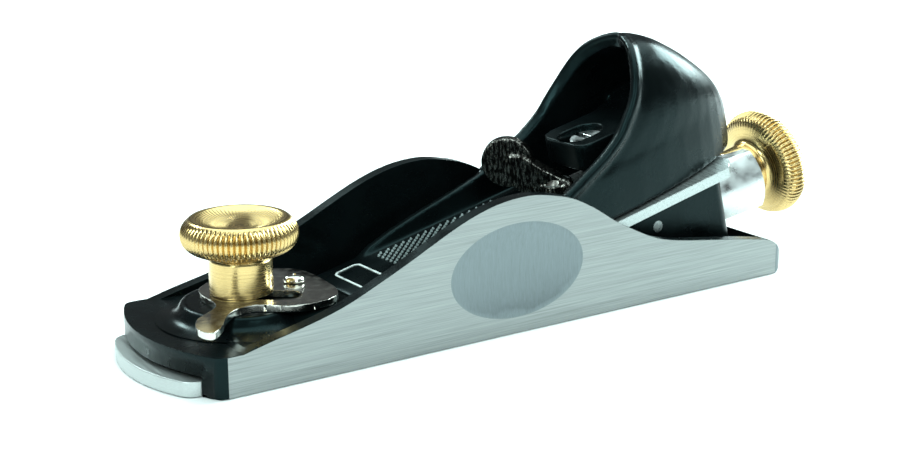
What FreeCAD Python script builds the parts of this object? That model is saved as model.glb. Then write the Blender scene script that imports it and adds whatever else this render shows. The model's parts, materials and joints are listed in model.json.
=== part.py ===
"""Low-angle block plane, built as separate pieces.

Frame: +X runs from toe to heel, +Y across, +Z up. The origin is on the sole, halfway along the casting.
Most of the upper pieces lie on the bed, so they are drawn in bed coordinates: local X runs up the bed from
the cutting edge, local Z stands square to the bed. on_bed() puts such a piece in place.
"""
import FreeCAD, Part

import math
import os
import re

Vector = FreeCAD.Vector
doc = FreeCAD.newDocument("block_plane")

# ---------------------------------------------------------------- driving dimensions
DIMS = {
    # casting
    "body_length": 158.0,      # nose to heel, along the sole
    "body_width": 44.5,
    "cheek_wall": 3.0,
    "cheek_height": 30.4,      # top of the hump
    "toe_height": 8.6,
    "heel_height": 8.6,
    "sole_thick": 4.0,
    "heel_wall": 4.0,
    "nose_depth": 9.5,         # how far the nose bows out past the flat of the cheeks
    "nose_bow": 6.35,          # part of that which is the bow, the rest being its rounded corners
    "deck_height": 8.8,
    "platform_height": 12.2,   # raised seat of the eccentric lever
    "mouth_from_nose": 42.5,   # nose to cutting edge
    "bed_angle": 13.5,
    "bed_length": 26.0,        # front bed, measured up the slope
    "block_width": 26.0,       # rear bed block
    "block_length": 40.4,
    "heel_gap": 12.0,          # heel to the rear face of the block
    "dimple_depth": 1.1,
    "dimple_length": 35.4,
    "dimple_height": 21.2,
    "dimple_x": -0.5,
    "dimple_z": 14.2,
    # adjustable toe plate
    "plate_thick": 3.2,
    "plate_reach": 2.9,        # how far its lip stands past the nose
    "plate_bow": 4.6,
    "plate_corner": 4.0,
    "rail_width": 4.25,        # fixed sole on each side of the plate
    "throat_head": 1.0,        # gap above the lip
    "mouth_gap": 4.4,          # plate to cutting edge, fully open
    "mouth_travel": 3.0,       # how far the plate closes
    "boss_top": 8.0,
    "plate_side_gap": 0.2,
    # front knob
    "knob_from_corner": 13.4,
    "knob_diameter": 24.8,
    "knob_neck": 13.4,
    "knob_height": 16.6,
    "knob_rim": 7.6,
    "knob_dish": 1.6,
    "stud_radius": 3.0,
    "stud_boss": 6.0,          # radius of the plate's tapped boss
    # eccentric lever
    "lever_thick": 1.5,
    "pivot_from_knob": 12.6,
    "pivot_radius": 1.6,
    "lever_swing": 50.0,
    # iron
    "iron_side_gap": 1.75,
    "groove_depth": 1.2,
    "groove_pitch": 3.0,
    "iron_thick": 2.5,
    "iron_bevel": 25.0,
    "iron_tail": 1.6,          # iron past the rear face of the block
    "seat_gap": 0.1,           # clearance between pieces that lie on each other
    # lever cap screw, at the lateral pivot
    "screw_from_pin": 6.3,
    "screw_radius": 2.5,
    "screw_head": 4.0,
    "screw_top": 17.3,         # top of its head over the bed
    "screw_end": 10.0,         # depth below the bed
    # depth adjuster
    "pin_from_block": 22.0,    # block rear face to the cross pin
    "pin_depth": 5.6,
    "pin_radius": 1.4,
    "spindle_depth": 9.6,      # adjuster axis below the bed
    "spindle_radius": 2.5,
    "collar_radius": 2.3,
    "rocker_half": 4.3,
    "rocker_slot": 4.6,
    "wheel_gap": 19.8,         # block rear face to the wheel's rim
    "wheel_diameter": 27.0,
    "wheel_rim": 8.3,
    "wheel_neck": 13.4,
    # lateral lever
    "arm_width": 11.6,
    "arm_thick": 2.0,
    "lateral_from_block": 8.0,  # block rear face to the lateral pivot
    "lateral_offset": 3.4,     # pivot to the pin that moves the iron
    "cone_start": 1.0,         # past the block
    "cone_end": 14.2,
    "skirt_top": 1.4,          # its upper edge below the bed plane
    "cone_small": 7.5,
    "cone_large": 10.7,
    # lever cap
    "cap_inset": 1.1,          # cap narrower than the iron, each side
    "cap_front": 8.0,
    "cap_under": 4.2,          # its underside over the bed
    "cap_floor": 6.6,
    "cap_wall": 2.4,
    "wall_start": 20.4,
    "hood_height": 37.7,
    "hood_tail": 38.9,         # rear of the hood behind the screw
    "ledge_bottom": 12.2,
    "ledge_top": 19.0,
    "ledge_radius": 7.7,
    "cap_travel": 3.2,
    # cam lever
    "cam_from_screw": 11.0,
    "cam_thick": 3.0,
    "cam_reach": 9.5,
    "cam_angle": 134.6,
    "pad_radius": 5.6,
    "pad_thick": 2.6,
    "rivet_radius": 1.8,
}

sheet = doc.addObject("Spreadsheet::Sheet", "dims")
for row, (alias, value) in enumerate(DIMS.items(), start=1):
    sheet.set(f"A{row}", alias)
    sheet.set(f"B{row}", repr(value))
    sheet.setAlias(f"B{row}", alias)
DERIVED = {
    "heel_x": "body_length / 2",
    "nose_x": "0 - body_length / 2",
    "corner_x": "0 - body_length / 2 + nose_depth",
    "mouth_x": "0 - body_length / 2 + mouth_from_nose",
    "iron_half": "body_width / 2 - cheek_wall - iron_side_gap",
    "cap_half": "body_width / 2 - cheek_wall - iron_side_gap - cap_inset",
    "plate_half": "body_width / 2 - rail_width - plate_side_gap",
    "knob_x": "0 - body_length / 2 + nose_depth + knob_from_corner",
    "pivot_x": "0 - body_length / 2 + nose_depth + knob_from_corner + pivot_from_knob",
    "knob_base": "platform_height + lever_thick + 2 * seat_gap",
    "block_rear": "(body_length - mouth_from_nose - heel_gap) / cos(bed_angle * 1 deg)",
    "pin_at": "(body_length - mouth_from_nose - heel_gap) / cos(bed_angle * 1 deg) - pin_from_block",
    "screw_at": "(body_length - mouth_from_nose - heel_gap) / cos(bed_angle * 1 deg)"
                " - pin_from_block - screw_from_pin",
    "lateral_at": "(body_length - mouth_from_nose - heel_gap) / cos(bed_angle * 1 deg)"
                  " - lateral_from_block",
    "iron_top": "seat_gap + iron_thick",
}
for row, (alias, formula) in enumerate(DERIVED.items(), start=len(DIMS) + 2):
    sheet.set(f"A{row}", alias)
    sheet.set(f"B{row}", "=" + formula)
    sheet.setAlias(f"B{row}", alias)
doc.recompute()


def dim(alias):
    """A value of the sheet, as a plain number."""
    return float(getattr(sheet, alias))


# ---------------------------------------------------------------- helpers
def named(formula):
    """Puts the sheet's name before each alias in a formula."""
    return re.sub(r"[a-z_]\w*", lambda m: "dims." + m[0] if m[0] in DIMS or m[0] in DERIVED else m[0],
                  str(formula))


def bind(obj, **formulas):
    """Binds properties to the sheet. A double underscore stands for a dot."""
    for prop, formula in formulas.items():
        obj.setExpression(prop.replace("__", "."), named(formula))
    return obj


def place(obj, x=0, y=0, z=0):
    return bind(obj, Placement__Base__x=x, Placement__Base__y=y, Placement__Base__z=z)


def box(name, x, y, z):
    """A box between two limits on each axis."""
    obj = doc.addObject("Part::Box", name)
    bind(obj, Length=f"({x[1]}) - ({x[0]})", Width=f"({y[1]}) - ({y[0]})", Height=f"({z[1]}) - ({z[0]})")
    return place(obj, x[0], y[0], z[0])


TURNS = {"z": (Vector(0, 0, 1), 0), "x": (Vector(0, 1, 0), 90), "y": (Vector(1, 0, 0), -90)}


def cylinder(name, radius, height, foot, along="z"):
    """A cylinder that stands on foot and runs towards +along."""
    obj = doc.addObject("Part::Cylinder", name)
    bind(obj, Radius=radius, Height=height)
    obj.Placement = FreeCAD.Placement(Vector(), FreeCAD.Rotation(*TURNS[along]))
    return place(obj, *foot)


def cone(name, start, end, height, foot, along="z"):
    """A frustum whose radius goes from start to end along its axis."""
    obj = doc.addObject("Part::Cone", name)
    bind(obj, Radius1=start, Radius2=end, Height=height)
    obj.Placement = FreeCAD.Placement(Vector(), FreeCAD.Rotation(*TURNS[along]))
    return place(obj, *foot)


def fuse(name, *shapes):
    obj = doc.addObject("Part::MultiFuse", name)
    obj.Shapes = list(shapes)
    return obj


def common(name, *shapes):
    obj = doc.addObject("Part::MultiCommon", name)
    obj.Shapes = list(shapes)
    return obj


def cut(name, base, *tools):
    obj = doc.addObject("Part::Cut", name)
    obj.Base = base
    obj.Tool = tools[0] if len(tools) == 1 else fuse(name + "_tools", *tools)
    return obj


def feature(name, shape):
    """A drawn solid, for outlines that no primitive gives."""
    obj = doc.addObject("Part::Feature", name)
    obj.Shape = shape
    return obj


def on_bed(obj):
    """Moves a piece drawn in bed coordinates on to the bed."""
    if obj.TypeId in ("Part::Box", "Part::Cylinder"):
        refined = doc.addObject("Part::Refine", obj.Name + "_on_bed")
        refined.Source = obj
        obj = refined
    obj.Placement = FreeCAD.Placement(Vector(), FreeCAD.Rotation(Vector(0, -1, 0), dim("bed_angle")))
    return bind(obj, Placement__Base__x="mouth_x", Placement__Rotation__Angle="bed_angle")


SUB_PARTS = {}


def sub_part(node, obj):
    """Gives a finished piece the label that names its file."""
    obj.Label = node
    SUB_PARTS[node] = obj
    return obj


def straight(a, b):
    return Part.LineSegment(a, b).toShape()


def curve(points, closed=False):
    spline = Part.BSplineCurve()
    spline.interpolate(Points=points, PeriodicFlag=closed)
    return spline.toShape()


def face(*edges):
    return Part.Face(Part.Wire(Part.__sortEdges__(list(edges))))


def polygon(points):
    return Part.Face(Part.makePolygon(list(points) + [points[0]]))


# ---------------------------------------------------------------- casting
W2 = dim("body_width") / 2


def rounded(points, arcs, radius):
    """A face from corner points, some of them rounded. arcs gives the middle of each bowed run by its start."""
    edges = []
    for i, start in enumerate(points):
        end = points[(i + 1) % len(points)]
        edges.append(Part.Arc(start, arcs[i], end).toShape() if i in arcs else straight(start, end))
    solid = Part.Face(Part.Wire(edges)).extrude(Vector(0, 0, 1))
    upright = [e for e in solid.Edges if abs(e.Length - 1) < 1e-6 and abs(e.BoundBox.ZLength - 1) < 1e-6]
    solid = solid.makeFillet(radius, upright)
    return [f for f in solid.Faces if abs(f.CenterOfMass.z) < 1e-6][0]


def plan_outline():
    """Outline of the casting from above: a bowed nose and a square heel, with rounded corners."""
    corner, nose, heel = dim("nose_x") + dim("nose_bow"), dim("nose_x"), dim("heel_x")
    points = [Vector(corner, W2, 0), Vector(corner, -W2, 0), Vector(heel, -W2, 0), Vector(heel, W2, 0)]
    return rounded(points, {0: Vector(nose, 0, 0)}, 2.6)


# Top edge of a cheek: distance from the nose corner, height. The hump follows cheek_height.
CHEEK = [(1.9, 8.5), (14.6, 11.4), (21.7, 13.1), (26.4, 14.6), (32.5, 17.1), (38.3, 19.6), (44.8, 22.6),
         (51.2, 25.6), (57.8, 28.2), (64.5, 29.9), (69.3, 30.4), (73.7, 30.3), (78.2, 29.5), (83.1, 28.2),
         (87.3, 26.3), (91.3, 24.0), (95.5, 21.2), (101.3, 18.1), (108.4, 14.9), (115.7, 13.2), (123.4, 12.0),
         (135.0, 10.3), (141.7, 9.1)]


def side_profile():
    """Outline of the casting from the side."""
    rise = (dim("cheek_height") - dim("toe_height")) / (30.4 - 8.6)
    run = (dim("body_length") - dim("nose_depth")) / 148.5
    top = [Vector(dim("corner_x") + x * run, 0, dim("toe_height") + (z - 8.6) * rise) for x, z in CHEEK]
    nose, heel, toe_z, heel_z = dim("nose_x") - 1, dim("heel_x"), dim("toe_height"), dim("heel_height")
    back = [Vector(heel - 4.6, 0, heel_z), Vector(heel - 1.6, 0, heel_z - 2.3), Vector(heel, 0, heel_z - 6.3)]
    start = Vector(nose, 0, toe_z)
    first = Vector(dim("corner_x"), 0, toe_z)
    ends = [start, first]
    edges = [straight(*ends), straight(first, top[0]), curve(top), straight(top[-1], back[0]),
             Part.Arc(*back).toShape(), straight(back[-1], Vector(heel, 0, 1.6)),
             straight(Vector(heel, 0, 1.6), Vector(heel - 2.6, 0, 0)),
             straight(Vector(heel - 2.6, 0, 0), Vector(nose, 0, 0)), straight(Vector(nose, 0, 0), start)]
    return face(*edges)


plan = feature("casting_plan", plan_outline().extrude(Vector(0, 0, dim("cheek_height") + 5)))
flank = side_profile()
flank.translate(Vector(0, -W2 - 1, 0))
flank = feature("casting_flank", flank.extrude(Vector(0, 2 * W2 + 2, 0)))
blank = common("casting_blank", plan, flank)

INNER = "(body_width / 2 - cheek_wall)"
ACROSS = ("0 - " + INNER, INNER)
HIGH = "cheek_height + 5"
PLATE = "(body_width / 2 - rail_width)"
deck_void = box("deck_void", ("corner_x + 3.5", "mouth_x - mouth_gap"), ACROSS, ("deck_height", HIGH))
throat = box("throat_void", ("mouth_x - mouth_gap - 1", "mouth_x + 8"), ACROSS, ("plate_thick + 0.1", HIGH))
well = box("well", ("mouth_x + 1", "heel_x - heel_wall"), ACROSS, ("sole_thick", HIGH))
mouth = box("mouth", ("corner_x - 12", "mouth_x"), ("0 - " + PLATE, PLATE), (-1, "plate_thick + 0.1"))
edge_room = box("edge_room", ("mouth_x - 2.5", "mouth_x"), ("0 - iron_half - 1.7", "iron_half + 1.7"),
                (-1, "plate_thick + 0.1"))
head_gap = box("head_gap", ("nose_x - 2", "corner_x - 2"), ("0 - " + PLATE, PLATE),
               (-1, "plate_thick + throat_head"))
over_bed = on_bed(box("over_bed", (0, "block_rear + 4"), ACROSS, (0, HIGH)))
hollow = cut("hollowed", blank, deck_void, throat, well, mouth, edge_room, head_gap, over_bed)

# Seat of the eccentric lever: two rounds, one at the knob and one at the pivot.
seat_knob = cylinder("seat_knob", 12.0, "platform_height - plate_thick - 0.1",
                     ("knob_x", 0, "plate_thick + 0.1"))
seat_pivot = cylinder("seat_pivot", 13.0, "platform_height - plate_thick - 0.1",
                      ("pivot_x", 0, "plate_thick + 0.1"))
seat_back = box("seat_back", ("mouth_x - mouth_gap", "mouth_x + 30"), ("0 - body_width", "body_width"),
                (-1, 20))
seat = cut("lever_seat", fuse("seat_rounds", seat_knob, seat_pivot), seat_back)

# Front bed: a wedge from the cutting edge up.
ramp_box = on_bed(box("ramp_plane", (-20, "block_rear + 30"), ("0 - body_width", "body_width"), (-30, 0)))
ramp = common("front_bed", ramp_box,
              box("front_bed_blank", ("mouth_x", "mouth_x + bed_length"), ACROSS, (0, "body_width")))
# Rear bed block: square to the bed at the back.
block_solid = common("block_blank",
                     on_bed(box("block_box", ("block_rear - block_length", "block_rear"),
                                ("0 - block_width / 2", "block_width / 2"), (-40, 0))),
                     box("block_above_floor", ("mouth_x", "heel_x"), ("0 - block_width", "block_width"),
                         ("sole_thick - 1", "body_width")))
solid = fuse("casting_solid", hollow, seat, ramp, block_solid)

SLOT_Y = ("0 - rocker_slot", "rocker_slot")
rocker_slot = on_bed(box("rocker_opening", ("pin_at - 3.2", "pin_at + 3.6"), SLOT_Y, (-12.6, 1)))
arm_bed = on_bed(box("arm_bed", ("lateral_at - lateral_offset - 3.6", "block_rear + 1"),
                     ("0 - arm_width / 2 - 1.4", "arm_width / 2 + 1.4"), ("0 - arm_thick - 0.2", 1)))
screw_hole = on_bed(cylinder("screw_hole", "screw_radius + 0.05", "screw_end + 1",
                             ("screw_at", 0, "0 - screw_end - 0.5")))
pin_hole = on_bed(cylinder("pin_hole", "pin_radius + 0.03", "block_width + 2",
                           ("pin_at", "0 - block_width / 2 - 1", "0 - pin_depth"), "y"))
spindle_hole = on_bed(cylinder("spindle_hole", "spindle_radius + 0.06", "pin_from_block + 2",
                               ("pin_at", 0, "0 - spindle_depth"), "x"))
stud_hole = on_bed(cylinder("stud_hole", "1.25", 8, ("lateral_at", 0, -7)))
boss_slot = box("boss_slot", ("knob_x", "knob_x + mouth_travel"), ("0 - stud_boss - 0.3", "stud_boss + 0.3"),
                (0, "boss_top + 0.3"))
boss_ends = [cylinder(f"boss_end{i}", "stud_boss + 0.3", "boss_top + 0.3", (x, 0, 0))
             for i, x in enumerate(("knob_x", "knob_x + mouth_travel"))]
stud_slot = box("stud_slot", ("knob_x", "knob_x + mouth_travel"),
                ("0 - stud_radius - 0.3", "stud_radius + 0.3"),
                (0, 20))
stud_ends = [cylinder(f"stud_end{i}", "stud_radius + 0.3", 20, (x, 0, 0))
             for i, x in enumerate(("knob_x", "knob_x + mouth_travel"))]
pivot_hole = cylinder("pivot_hole", "pivot_radius - 0.4", 6, ("pivot_x", 0, "platform_height - 6"))


def dimple(name, side):
    """A shallow oval hollow ground into a cheek."""
    obj = doc.addObject("Part::Ellipsoid", name)
    bind(obj, Radius1="dimple_height / 1.2", Radius2="dimple_length / 1.2", Radius3="dimple_depth * 5")
    return place(obj, "dimple_x", f"{side} * (body_width / 2 + dimple_depth * 4)", "dimple_z")


casting = cut("casting_cut", solid, rocker_slot, arm_bed, screw_hole, pin_hole, spindle_hole, stud_hole,
              boss_slot, *boss_ends, stud_slot, *stud_ends, pivot_hole, dimple("near_dimple", -1),
              dimple("far_dimple", 1))
sub_part("body_casting", casting)

# ---------------------------------------------------------------- toe plate, knob and eccentric lever
half = dim("plate_half")
lip = dim("nose_x") - dim("plate_reach")
flank_x = lip + dim("plate_bow")
rear = dim("mouth_x") - dim("mouth_gap")
shoe_edge = [Vector(flank_x, half, 0), Vector(flank_x, -half, 0), Vector(rear, -half, 0),
             Vector(rear, half, 0)]
front_blank = rounded(shoe_edge, {0: Vector(lip, 0, 0)}, dim("plate_corner"))
square_rear = polygon([Vector(flank_x + 8, -half, 0), Vector(rear, -half, 0), Vector(rear, half, 0),
                       Vector(flank_x + 8, half, 0)])
up = Vector(0, 0, dim("plate_thick"))
shoe = feature("shoe", front_blank.extrude(up).fuse(square_rear.extrude(up)).removeSplitter())
boss = cylinder("shoe_boss", "stud_boss", "boss_top", ("knob_x", 0, 0))
tapped = cylinder("shoe_hole", "stud_radius + 0.02", "boss_top", ("knob_x", 0, 1.2))
sub_part("throat_plate", cut("throat_plate_cut", fuse("shoe_solid", shoe, boss), tapped))

sub_part("knob_stud", cylinder("stud_thread", "stud_radius", "knob_base + 6.6", ("knob_x", 0, 2.4)))
neck = cylinder("knob_neck_solid", "knob_neck / 2", "knob_height - knob_rim", ("knob_x", 0, "knob_base"))
flare = cone("knob_flare", "knob_neck / 2", "knob_neck / 2 + 2.4", 1.6,
             ("knob_x", 0, "knob_base + knob_height - knob_rim - 1.6"))
low = cone("knob_low", "knob_diameter / 2 - 1.8", "knob_diameter / 2", "knob_rim * 0.3",
           ("knob_x", 0, "knob_base + knob_height - knob_rim"))
band = cylinder("knob_band", "knob_diameter / 2", "knob_rim * 0.4",
                ("knob_x", 0, "knob_base + knob_height - knob_rim * 0.7"))
high = cone("knob_high", "knob_diameter / 2", "knob_diameter / 2 - 2.2", "knob_rim * 0.3",
            ("knob_x", 0, "knob_base + knob_height - knob_rim * 0.3"))
dish = cone("knob_dish_cut", "knob_diameter / 2 - 7", "knob_diameter / 2 - 3.2", "knob_dish",
            ("knob_x", 0, "knob_base + knob_height - knob_dish"))
bore = cylinder("knob_bore", "stud_radius + 0.02", 9.4, ("knob_x", 0, "knob_base - 0.1"))
sub_part("front_knob", cut("front_knob_cut", fuse("front_knob_solid", neck, flare, low, band, high), dish,
                           bore))

# Edge of the eccentric lever, measured from its pivot: head, then the tab that the thumb pushes.
LEVER_EDGE = [(-18.1, 7.9), (-19.9, 5.2), (-20.6, 0.8), (-20.8, -3.2), (-21.6, -5.8), (-24.5, -8.4),
              (-28.3, -11.1),
              (-30.2, -13.8), (-31.3, -18.2), (-30.2, -20.6), (-27.4, -19.0), (-23.2, -13.4), (-19.4, -10.3),
              (-16.4, -9.6), (-13.2, -10.6), (-11.3, -12.5), (-8.3, -14.5), (-4.7, -15.5), (-1.2, -15.2),
              (2.2, -13.8), (4.4, -10.6), (5.5, -5.0), (5.9, 0.8), (5.6, 5.4), (3.2, 9.6), (-2.4,
                      11.4), (-9.0, 11.2),
              (-14.5, 10.4)]


def spiral_slot():
    """The slot that draws the knob's stud towards the pivot as the lever swings."""
    reach, close, swing = dim("pivot_from_knob"), dim("mouth_travel"), math.radians(dim("lever_swing"))
    half_slot = dim("stud_radius") + 0.2
    rows = []
    for offset in (half_slot, -half_slot):
        row = []
        for i in range(9):
            turn = swing * i / 8
            r = reach - close * i / 8
            lean = math.atan2(close / swing, r)
            out = math.pi + turn + lean
            row.append(Vector(r * math.cos(math.pi + turn) + offset * math.cos(out),
                              r * math.sin(math.pi + turn) + offset * math.sin(out), 0))
        rows.append(row)
    outer, inner = rows
    caps = []
    for i, way in ((0, -1), (8, 1)):
        mid = (outer[i] + inner[i]) * 0.5
        out = (outer[i] - inner[i]).normalize()
        side = Vector(-out.y, out.x, 0) * way
        caps.append(Part.Arc(outer[i], mid + side * half_slot, inner[i]).toShape())
    return face(curve(outer), caps[1], curve(inner), caps[0])


edge = curve([Vector(x, y, 0) for x, y in LEVER_EDGE], closed=True)
plate = Part.Face(Part.Wire(edge)).extrude(Vector(0, 0, dim("lever_thick")))
slot = spiral_slot().extrude(Vector(0, 0, dim("lever_thick") + 2))
slot.translate(Vector(0, 0, -1))
eye = Part.makeCylinder(dim("pivot_radius") + 0.05, dim("lever_thick") + 2, Vector(0, 0, -1))
eccentric = feature("eccentric_lever", plate.cut(slot).cut(eye))
place(eccentric, "pivot_x", 0, "platform_height + seat_gap")
sub_part("eccentric_lever", eccentric)
sub_part("eccentric_pivot", fuse("pivot_solid",
                                 cylinder("pivot_pin", "pivot_radius", "lever_thick + 0.4",
                                          ("pivot_x", 0, "platform_height")),
                                 cylinder("pivot_root", "pivot_radius - 0.4", 5.6,
                                          ("pivot_x", 0, "platform_height - 5.6")),
                                 cone("pivot_head", "pivot_radius + 0.8", "pivot_radius - 0.4", 1.4,
                                      ("pivot_x", 0, "platform_height + lever_thick + 0.2"))))

# ---------------------------------------------------------------- iron
tail = dim("block_rear") + dim("iron_tail")
top = dim("iron_top")
low_n = dim("seat_gap")
back = (top - low_n) / math.tan(math.radians(dim("iron_bevel")))
blade = polygon([Vector(0, 0, low_n), Vector(tail, 0, low_n), Vector(tail, 0, top), Vector(back, 0, top)])
blade.translate(Vector(0, -dim("iron_half"), 0))
blade = feature("iron_blank", blade.extrude(Vector(0, 2 * dim("iron_half"), 0)))
iron_top = "iron_top + 1"
iron_slot = box("iron_slot", ("screw_at - 5", "screw_at + 2.6 + 1.4"),
                ("0 - screw_radius - 0.6", "screw_radius + 0.6"),
                (-1, iron_top))
guide_slot = box("guide_slot", ("lateral_at - lateral_offset - 5.1", "lateral_at - lateral_offset + 5.1"),
                 (-2.06, 2.06), (-1, iron_top))
grooves = [box(f"groove{i}", (f"pin_at - 1.1 + {i} * groove_pitch", f"pin_at + 1.1 + {i} * groove_pitch"),
               ("0 - rocker_half - 0.4", "rocker_half + 0.4"), (-1,
                                                                "seat_gap + groove_depth")) for i in (-4,
                                                                        -3, 0, 1)]
clip = [feature(f"iron_clip{i}", polygon([Vector(tail + 1, s * (dim("iron_half") - 4.5), -1),
                                          Vector(tail - 3.5, s * (dim("iron_half") + 0.01), -1),
                                          Vector(tail + 1, s * (dim("iron_half") + 1), -1)])
                .extrude(Vector(0, 0, 5))) for i, s in enumerate((-1, 1))]
sub_part("plane_iron", on_bed(cut("iron_cut", blade, iron_slot, guide_slot, *grooves, *clip)))

# ---------------------------------------------------------------- lateral adjustment
AXIS = "0 - spindle_depth"
arm = box("lateral_arm", ("lateral_at - lateral_offset - 2.6", "block_rear + cone_start + 3.5"),
          ("0 - arm_width / 2", "arm_width / 2"), ("0 - arm_thick - 0.1", "-0.1"))
skirt = cut("skirt",
            cone("skirt_out", "cone_small + 1.3", "cone_large", "cone_end - cone_start",
                 ("block_rear + cone_start", 0, AXIS), "x"),
            cone("skirt_in", "cone_small", "cone_large - 1.3", "cone_end - cone_start",
                 ("block_rear + cone_start", 0, AXIS), "x"),
            box("skirt_open", ("block_rear", "block_rear + 30"), (-20, 20), (-30, "0 - spindle_depth - 6.2")),
            box("skirt_above", ("block_rear", "block_rear + 30"), (-20, 20), ("0 - skirt_top", 10)))
lateral_eye = cylinder("lateral_eye", "1.25", 5, ("lateral_at", 0, -4))
pin_eye = cylinder("pin_eye", "0.85", 5, ("lateral_at - lateral_offset", 0, -4))
sub_part("lateral_lever", on_bed(cut("lateral_cut", fuse("lateral_solid", arm, skirt), lateral_eye, pin_eye)))
sub_part("lateral_stud", on_bed(cylinder("lateral_stud_pin", 1.2, 6.7, ("lateral_at", 0, -6.8))))
sub_part("lateral_block", on_bed(fuse("lateral_block_solid",
                                      box("lateral_slider",
                                          ("lateral_at - lateral_offset - 2",
                                           "lateral_at - lateral_offset + 2"),
                                          (-2, 2), (0, "iron_top - 0.2")),
                                      cylinder("slider_pin", 0.8, 2.2,
                                               ("lateral_at - lateral_offset", 0, -2.1)))))

# ---------------------------------------------------------------- depth adjustment
web = box("rocker_web", ("pin_at - 1.6", "pin_at + 1.6"), ("0 - rocker_half", "rocker_half"),
          ("0 - pin_depth + 1.5", -0.4))
tip = box("rocker_tip", ("pin_at - 0.7", "pin_at + 0.7"), ("0 - rocker_half", "rocker_half"),
          ("-0.5", "seat_gap + groove_depth - 0.35"))
cheeks = []
for i, side in enumerate((-1, 1)):
    inner, outer = ("collar_radius + 0.25", "rocker_half")
    y = (inner, outer) if side > 0 else (f"0 - {outer}", f"0 - ({inner})")
    cheeks.append(box(f"rocker_cheek{i}", ("pin_at - 1.9", "pin_at + 1.9"), y,
                      ("0 - spindle_depth - 1.8", "0 - pin_depth + 2.4")))
notch = box("rocker_notch", ("pin_at - 0.85", "pin_at + 0.85"), ("0 - rocker_half - 1", "rocker_half + 1"),
            ("0 - spindle_depth - 3", "0 - spindle_depth + 0.9"))
rocker_eye = cylinder("rocker_eye", "pin_radius + 0.04", 20, ("pin_at", -10, "0 - pin_depth"), "y")
sub_part("adjusting_lever", on_bed(cut("rocker_cut", fuse("rocker_solid", web, tip, *cheeks), notch,
                                       rocker_eye)))
sub_part("rocker_pin", on_bed(cylinder("rocker_pin_solid", "pin_radius", "block_width",
                                       ("pin_at", "0 - block_width / 2", "0 - pin_depth"), "y")))
collar = cut("collar_cut", fuse("collar_solid", cylinder("collar_ring", "collar_radius", 2,
                                                         ("pin_at - 1", 0, AXIS), "x"),
                                cylinder("collar_trunnion", 0.75, "2 * rocker_half",
                                         ("pin_at", "0 - rocker_half", AXIS), "y")),
             cylinder("collar_bore", 1.25, 4, ("pin_at - 2", 0, AXIS), "x"))
sub_part("adjusting_collar", on_bed(collar))
sub_part("adjusting_screw", on_bed(fuse("spindle_solid",
                                        cylinder("spindle_tip", "collar_radius - 0.1", 1.0,
                                                 ("pin_at - 2.05", 0, AXIS), "x"),
                                        cylinder("spindle_neck", 1.2, 2.6, ("pin_at - 1.3", 0, AXIS), "x"),
                                        cylinder("spindle_thread", "spindle_radius",
                                                 "pin_from_block + wheel_gap + wheel_rim - 1.05 - 1.4",
                                                 ("pin_at + 1.05", 0, AXIS), "x"))))
WHEEL = "block_rear + wheel_gap"
wheel = fuse("wheel_solid",
             cylinder("wheel_neck_solid", "wheel_neck / 2", 8.2, (WHEEL + " - 8", 0, AXIS), "x"),
             cone("wheel_flare", "wheel_neck / 2", "wheel_neck / 2 + 2.4", 1.6, (WHEEL + " - 1.6", 0, AXIS),
                  "x"),
             cone("wheel_low", "wheel_diameter / 2 - 1.8", "wheel_diameter / 2", "wheel_rim * 0.3",
                  (WHEEL, 0, AXIS), "x"),
             cylinder("wheel_band", "wheel_diameter / 2", "wheel_rim * 0.4",
                      (WHEEL + " + wheel_rim * 0.3", 0, AXIS), "x"),
             cone("wheel_high", "wheel_diameter / 2", "wheel_diameter / 2 - 2.2", "wheel_rim * 0.3",
                  (WHEEL + " + wheel_rim * 0.7", 0, AXIS), "x"))
wheel_bore = cylinder("wheel_bore", "spindle_radius + 0.02", "8 + wheel_rim - 1.4",
                      (WHEEL + " - 8.0", 0, AXIS), "x")
sub_part("adjusting_wheel", on_bed(cut("wheel_cut", wheel, wheel_bore)))

# ---------------------------------------------------------------- lever cap
cap_half = dim("cap_half")
screw_at = dim("screw_at")
hood_top = dim("hood_height")
TAIL = dim("hood_tail")
# Hood, in slices parallel to the bed: share of the height, front and back from the screw, half-width.
HOOD = [(0.111, -22.0, 38.9, 16.4), (0.20, -21.0, 39.3, 16.4), (0.355, -19.9, 39.2, 16.3),
        (0.43, -10.8, 38.4, 16.1),
        (0.557, -2.1, 35.6, 15.5), (0.645, 1.5, 32.8, 15.0), (0.725, 4.5, 30.0, 14.2), (0.805, 6.9, 27.0,
                12.8),
        (0.873, 8.8, 24.0, 11.0), (0.944, 11.3, 20.6, 7.5), (0.985, 12.9, 17.9, 4.0)]


def slice_wire(n, front, rear, half, inset=0.0, ahead=0.0):
    """One slice of the hood: flat in front, round behind."""
    f, r, h = front - ahead, rear - inset, half - inset
    depth = rear - inset - front
    bow = [Vector(screw_at + f, -h, n)]
    for share, width in ((0.35, 0.99), (0.62, 0.92), (0.82, 0.735), (0.95, 0.41)):
        bow.append(Vector(screw_at + front + depth * share, -h * width, n))
    bow.append(Vector(screw_at + r, 0, n))
    bow += [Vector(p.x, -p.y, n) for p in reversed(bow[:-1])]
    return Part.Wire([curve(bow), straight(bow[-1], bow[0])])


def hood_slices(inset=0.0, ahead=0.0, drop=0.0):
    wires = []
    for share, front, rear, half in HOOD:
        scale = TAIL / 38.9
        wires.append(slice_wire(share * hood_top - drop, front, rear * scale, half * cap_half / 16.4, inset,
                                ahead))
    return Part.makeLoft(wires, True)


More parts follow.
